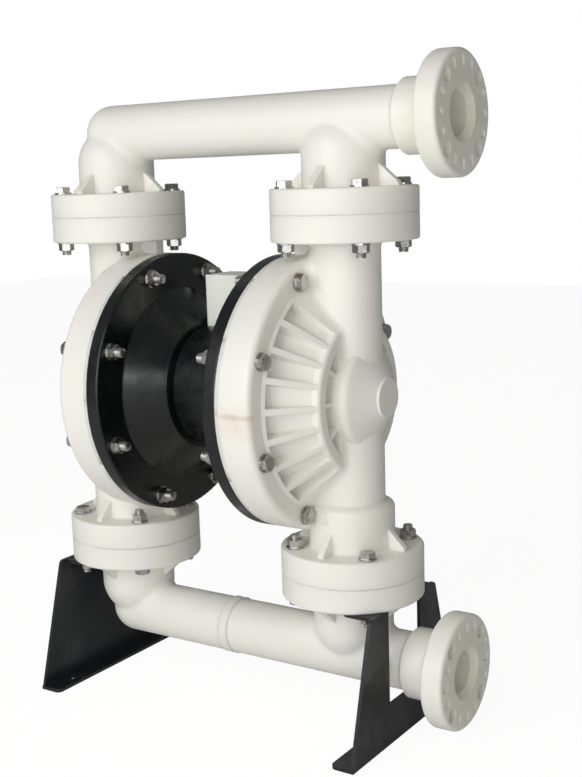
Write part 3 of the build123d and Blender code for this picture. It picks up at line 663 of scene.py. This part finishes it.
# ---- bolt threads ----
def thread_sleeve(root, tip, settings):
    """Helical thread from root to tip: points, quads and the triangles that close its end.

    A point at turn a and height h stands at radius + depth * ridge, where ridge is a triangle
    wave of h / pitch - a / 360 degrees, so one crest climbs one pitch in every turn. The last
    millimetre tapers in to the end of the bolt and closes there.
    """
    length = np.linalg.norm(tip - root)
    along = (tip - root) / length
    side = np.cross(along, (0.31, 0.52, 0.79))
    side /= np.linalg.norm(side)
    across = np.cross(along, side)
    rows = int(length / settings.thread_pitch * ROWS_PER_TURN) + 2
    height = np.linspace(0.0, length, rows)[:, None]
    turn = np.linspace(0.0, tau, settings.thread_sides, endpoint=False)[None, :]
    phase = (height / settings.thread_pitch - turn / tau) % 1.0
    ridge = 1.0 - np.abs(2.0 * phase - 1.0)
    taper = np.clip((length - height) / TAPER_LENGTH, 0.0, 1.0)
    reach = THREAD_ROOT + settings.thread_depth * ridge * taper - TAPER_DEPTH * (1.0 - taper)
    rings = (
        root
        + height[..., None] * along
        + (reach * np.cos(turn))[..., None] * side
        + (reach * np.sin(turn))[..., None] * across
    )
    points = np.concatenate([rings.reshape(-1, 3), [tip + along * TIP_RISE]])
    last = (rows - 1) * settings.thread_sides
    step = np.arange(settings.thread_sides)
    after = last + (step + 1) % settings.thread_sides
    cap = np.stack([last + step, after, np.full_like(step, len(points) - 1)], -1)
    return points, grid_faces(rows, settings.thread_sides), cap


def chamber_spans(side):
    """Start and stop of each chamber bolt's end on one side of the pump, in the frame."""
    turn = radians(22.5) + np.arange(CHAMBER_BOLTS) * tau / CHAMBER_BOLTS
    flat = np.zeros(CHAMBER_BOLTS)
    ring = np.stack([flat, CHAMBER_CIRCLE * np.cos(turn), CHAMBER_CIRCLE * np.sin(turn)], -1)
    seats = SHAFT_MIDDLE + ring + np.array([side * CHAMBER_NUT_PLANE, 0, 0])
    inward = np.array([-side, 0.0, 0.0])
    reach = NUT_HEIGHT + CHAMBER_END
    return [(seat + inward * NUT_HEIGHT, seat + inward * reach) for seat in seats]


def manifold_spans():
    """Start and stop of each manifold bolt's end, in the frame."""
    spans = []
    for side, top, heads_up in JOINTS:
        for i, head_up in enumerate(heads_up):
            turn = radians(45 + 90 * i)
            place = SHAFT_MIDDLE + np.array([side * COLUMN_PLACE, 0.0, 0.0])
            place = place + MANIFOLD_CIRCLE * np.array([cos(turn), sin(turn), 0.0])
            tab = FOOT_TAB if not top and side * cos(turn) > 0 else 0.0
            if top:
                high, low = JOINT_HEIGHT + MANIFOLD_FLANGE, JOINT_HEIGHT - CHAMBER_FLANGE
            else:
                high, low = CHAMBER_FLANGE - JOINT_HEIGHT, -JOINT_HEIGHT - MANIFOLD_FLANGE - tab
            way = -1.0 if head_up else 1.0
            face = (low if head_up else high) + way * NUT_HEIGHT
            start = place + np.array([0.0, 0.0, face])
            spans.append((start, start + np.array([0.0, 0.0, way * MANIFOLD_END])))
    return spans


class PUMP_OT_threads(Operator):
    """Cuts the thread on each bolt end that stands out of its nut"""

    bl_idname = "pump.threads"
    bl_label = "Cut the threads"

    def execute(self, context):
        settings = context.scene.pump_settings
        steel = bare_metal("thread_steel", FASTENER_STEEL, (0.25, 0.42))
        groups = [("chamber_threads_" + label, chamber_spans(side)) for label, side in SIDES]
        groups.append(("manifold_threads", manifold_spans()))
        for name, spans in groups:
            sleeves = [thread_sleeve(root, tip, settings) for root, tip in spans]
            points = np.concatenate([sleeve[0] for sleeve in sleeves])
            firsts = np.cumsum([0] + [len(sleeve[0]) for sleeve in sleeves[:-1]])
            quads = np.concatenate([sleeve[1] + first for sleeve, first in zip(sleeves, firsts)])
            caps = np.concatenate([sleeve[2] + first for sleeve, first in zip(sleeves, firsts)])
            make_piece(name, points, [quads, caps], steel)
        return {"FINISHED"}


# ---- weld bead ----
def ripple(turn, waves):
    """Sum of sines of the angle round the pipe: each wave is a size, a count and a phase."""
    return sum(size * np.sin(count * turn + phase) for size, count, phase in waves)


def bead_ring(x, settings):
    """Uneven half-round ring about the suction pipe, x along the shaft from its midpoint.

    Over half a turn of arc the section stands height * sin(arc) over the bead's radius and
    reaches half its width * cos(arc) along the pipe. Two sines of the angle round the pipe
    make it wander along the pipe, and two more make it swell.
    """
    arc = np.linspace(0.0, pi, BEAD_ROWS)[:, None]
    turn = np.linspace(0.0, tau, settings.bead_sides, endpoint=False)[None, :]
    wander = ripple(turn, ((0.0004, 3, 1.0 + 900 * x), (0.0002, 11, 0.0)))
    swell = 1.0 + ripple(turn, ((0.2, 7, 0.0), (0.12, 23, 2.0)))
    reach = BEAD_RADIUS + BEAD_HEIGHT * np.sin(arc) * swell
    pipe = SHAFT_MIDDLE + np.array([x, 0.0, -PIPE_DROP])
    points = np.stack([
        pipe[0] - BEAD_HALF * np.cos(arc) + wander,
        pipe[1] + reach * np.cos(turn),
        pipe[2] + reach * np.sin(turn),
    ], -1).reshape(-1, 3)
    return points, grid_faces(BEAD_ROWS, settings.bead_sides)[:, ::-1]


class PUMP_OT_weld_bead(Operator):
    """Lays the uneven edges of the butt weld round the suction pipe"""

    bl_idname = "pump.weld_bead"
    bl_label = "Lay the weld bead"

    def execute(self, context):
        settings = context.scene.pump_settings
        material = moulded_white(
            "weld_plastic", base=(0.86, 0.84, 0.77), warm=(0.88, 0.85, 0.79),
            cool=(0.84, 0.84, 0.77), seed=5.0,
        )
        for label, x in (("inner", WELD_PLACE - WELD_HALF), ("outer", WELD_PLACE + WELD_HALF)):
            points, faces = bead_ring(x, settings)
            make_piece("weld_edge_" + label, points, [faces], material)
        return {"FINISHED"}


class PUMP_PT_panel(Panel):
    """Sidebar panel with the settings and every step"""

    bl_idname = "PUMP_PT_panel"
    bl_label = "Diaphragm pump"
    bl_space_type = "VIEW_3D"
    bl_region_type = "UI"
    bl_category = "Pump"

    def draw(self, context):
        settings = context.scene.pump_settings
        for name in PUMP_PG_settings.__annotations__:
            self.layout.prop(settings, name)
        for operator in STEPS:
            self.layout.operator(operator.bl_idname)


STEPS = (
    PUMP_OT_white_side, PUMP_OT_black_side, PUMP_OT_steel, PUMP_OT_inner_parts,
    PUMP_OT_diaphragms, PUMP_OT_threads, PUMP_OT_weld_bead, PUMP_OT_stage,
)
CLASSES = (PUMP_PG_settings, *STEPS, PUMP_PT_panel)


def register():
    for cls in CLASSES:
        bpy.utils.register_class(cls)
    bpy.types.Scene.pump_settings = PointerProperty(type=PUMP_PG_settings)


def unregister():
    del bpy.types.Scene.pump_settings
    for cls in reversed(CLASSES):
        bpy.utils.unregister_class(cls)


def build_scene():
    register()
    bpy.ops.pump.white_side()
    bpy.ops.pump.black_side()
    bpy.ops.pump.steel()
    bpy.ops.pump.inner_parts()
    bpy.ops.pump.diaphragms()
    bpy.ops.pump.threads()
    bpy.ops.pump.weld_bead()
    bpy.ops.pump.stage()


if __name__ == "__main__":
    build_scene()
